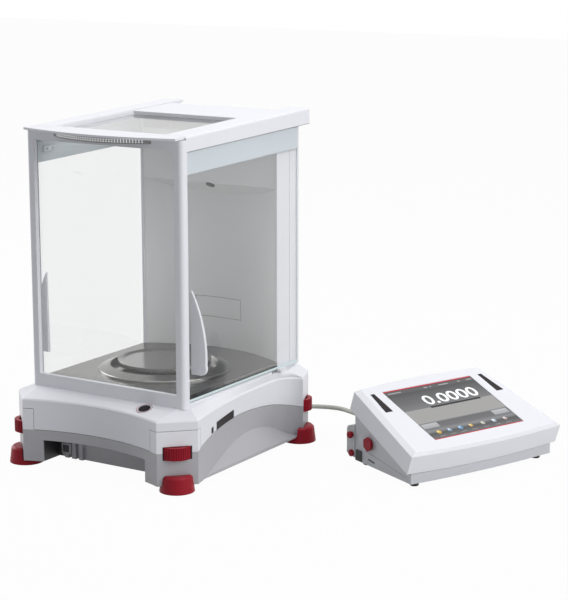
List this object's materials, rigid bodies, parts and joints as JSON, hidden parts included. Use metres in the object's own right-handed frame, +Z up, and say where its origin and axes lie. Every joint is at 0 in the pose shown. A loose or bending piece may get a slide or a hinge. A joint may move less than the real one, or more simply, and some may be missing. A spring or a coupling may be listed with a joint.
{
  "type": "laboratory balance",
  "caption": "Analytical balance with a glass draft shield, sliding doors, round pan and levelling wheels, joined by a cable to a separate tilted touch terminal.",
  "frame": {"origin": "on the bench, under the middle of the bounding box of balance and terminal, the cable left out", "axes": "+X to the right of the balance, -Y out of its front window, +Z up from the bench"},
  "size_m": [0.4858, 0.3605, 0.3515],
  "materials": {
    "white_plastic": "fine satin white moulding",
    "grey_plastic": "satin mid grey moulding",
    "light_grey_plastic": "satin light grey moulding",
    "red_plastic": "satin deep red moulding",
    "black_plastic": "satin black moulding",
    "dark_window": "gloss smoked infrared window",
    "frosted_plastic": "frosted pale blue-grey strip",
    "clear_glass": "clear float glass with pale green edges",
    "screen_glass": "gloss touch screen",
    "steel": "fine brushed stainless steel",
    "magnet_steel": "plain machined iron",
    "aluminium": "milled aluminium",
    "circuit_board": "green solder mask",
    "rubber": "soft black rubber",
    "cable_grey": "smooth light grey sheath"
  },
  "bodies": {
    "housing": {"base_tray": "grey_plastic", "base_cover": "white_plastic", "corner_panels": "white_plastic", "sensor_windows": "dark_window", "level_vial": "dark_window", "level_ring": "red_plastic", "floor_plate": "steel", "front_frame": "white_plastic", "front_glass": "clear_glass", "door_guides": "white_plastic", "roof_rails": "white_plastic", "roof_front": "white_plastic", "front_vent": "light_grey_plastic", "rear_tower": "white_plastic", "chamber_back": "light_grey_plastic", "lamp_lens": "dark_window", "rear_sockets": "black_plastic", "load_cell": "aluminium", "coil_magnet": "magnet_steel", "calibration_drive": "black_plastic", "circuit_boards": "circuit_board", "base_screws": "steel", "terminal_tray": "grey_plastic", "terminal_bezel": "white_plastic", "touch_screen": "screen_glass", "display_module": "black_plastic", "terminal_feet": "rubber", "dock_bracket": "light_grey_plastic", "bracket_caps": "red_plastic", "ribbed_grips": "black_plastic", "cable_glands": "cable_grey", "cable": "cable_grey"},
    "draft_ring": {"draft_ring": "steel"},
    "pan_support": {"pan_support": "steel"},
    "pan": {"pan": "steel"},
    "calibration_weight": {"calibration_weight": "steel"},
    "top_door": {"top_door_frame": "white_plastic", "top_door_glass": "clear_glass"},
    "door_right": {"door_glass_right": "clear_glass", "door_hanger_right": "frosted_plastic", "door_handle_right": "white_plastic"},
    "door_left": {"door_glass_left": "clear_glass", "door_hanger_left": "frosted_plastic", "door_handle_left": "white_plastic"},
    "hex_button_left": {"hex_button_left": "red_plastic"},
    "hex_button_right": {"hex_button_right": "red_plastic"},
    "release_knob_left": {"release_knob_left": "red_plastic"},
    "release_knob_right": {"release_knob_right": "red_plastic"},
    "level_wheel_fl": {"level_wheel_fl": "red_plastic"},
    "foot_fl": {"foot_fl": "red_plastic", "foot_screw_fl": "steel"},
    "level_wheel_fr": {"level_wheel_fr": "red_plastic"},
    "foot_fr": {"foot_fr": "red_plastic", "foot_screw_fr": "steel"},
    "level_wheel_rl": {"level_wheel_rl": "red_plastic"},
    "foot_rl": {"foot_rl": "red_plastic", "foot_screw_rl": "steel"},
    "level_wheel_rr": {"level_wheel_rr": "red_plastic"},
    "foot_rr": {"foot_rr": "red_plastic", "foot_screw_rr": "steel"}
  },
  "joints": [
    {"name": "draft_ring_lift", "type": "slide", "parent": "housing", "child": "draft_ring", "axis": [0, 0, 1], "range_m": [0, 0.04]},
    {"name": "pan_load", "type": "slide", "parent": "housing", "child": "pan_support", "axis": [0, 0, 1], "range_m": [-0.0008, 0], "stiffness_N_per_m": 4000, "springref_m": 0.001},
    {"name": "pan_lift", "type": "slide", "parent": "pan_support", "child": "pan", "axis": [0, 0, 1], "range_m": [0, 0.06]},
    {"name": "calibration_lift", "type": "slide", "parent": "housing", "child": "calibration_weight", "axis": [0, 0, 1], "range_m": [0, 0.003]},
    {"name": "top_door_slide", "type": "slide", "parent": "housing", "child": "top_door", "axis": [0, 0.9994, 0.0349], "range_m": [0, 0.112]},
    {"name": "right_door_slide", "type": "slide", "parent": "housing", "child": "door_right", "axis": [0, 1, 0], "range_m": [0, 0.138]},
    {"name": "left_door_slide", "type": "slide", "parent": "housing", "child": "door_left", "axis": [0, 1, 0], "range_m": [0, 0.138]},
    {"name": "wheel_turn_fl", "type": "hinge", "parent": "housing", "child": "level_wheel_fl", "pos_m": [-0.21455, -0.15493, 0.039], "axis": [0, 0, 1], "range_deg": [0, 2160]},
    {"name": "foot_height_fl", "type": "slide", "parent": "housing", "child": "foot_fl", "axis": [0, 0, 1], "range_m": [-0.0075, 0]},
    {"name": "wheel_turn_fr", "type": "hinge", "parent": "housing", "child": "level_wheel_fr", "pos_m": [-0.03126, -0.15493, 0.039], "axis": [0, 0, 1], "range_deg": [0, 2160]},
    {"name": "foot_height_fr", "type": "slide", "parent": "housing", "child": "foot_fr", "axis": [0, 0, 1], "range_m": [-0.0075, 0]},
    {"name": "wheel_turn_rl", "type": "hinge", "parent": "housing", "child": "level_wheel_rl", "pos_m": [-0.22032, 0.06058, 0.039], "axis": [0, 0, 1], "range_deg": [0, 2160]},
    {"name": "foot_height_rl", "type": "slide", "parent": "housing", "child": "foot_rl", "axis": [0, 0, 1], "range_m": [-0.0075, 0]},
    {"name": "wheel_turn_rr", "type": "hinge", "parent": "housing", "child": "level_wheel_rr", "pos_m": [-0.02549, 0.06058, 0.039], "axis": [0, 0, 1], "range_deg": [0, 2160]},
    {"name": "foot_height_rr", "type": "slide", "parent": "housing", "child": "foot_rr", "axis": [0, 0, 1], "range_m": [-0.0075, 0]},
    {"name": "hex_press_left", "type": "slide", "parent": "housing", "child": "hex_button_left", "axis": [0.4482, 0.8939, 0], "range_m": [0, 0.0016], "stiffness_N_per_m": 400, "springref_m": -0.002},
    {"name": "release_press_left", "type": "slide", "parent": "housing", "child": "release_knob_left", "axis": [0.3746, 0.9272, 0], "range_m": [0, 0.0018], "stiffness_N_per_m": 400, "springref_m": -0.002},
    {"name": "hex_press_right", "type": "slide", "parent": "housing", "child": "hex_button_right", "axis": [-0.2986, -0.9544, 0], "range_m": [0, 0.0016], "stiffness_N_per_m": 400, "springref_m": -0.002},
    {"name": "release_press_right", "type": "slide", "parent": "housing", "child": "release_knob_right", "axis": [-0.3746, -0.9272, 0], "range_m": [0, 0.0018], "stiffness_N_per_m": 400, "springref_m": -0.002}
  ],
  "couplings": [
    {"joint": "wheel_turn_fl", "follows": "foot_height_fl", "rad_per_m": -5026.5},
    {"joint": "wheel_turn_fr", "follows": "foot_height_fr", "rad_per_m": -5026.5},
    {"joint": "wheel_turn_rl", "follows": "foot_height_rl", "rad_per_m": -5026.5},
    {"joint": "wheel_turn_rr", "follows": "foot_height_rr", "rad_per_m": -5026.5}
  ]
}
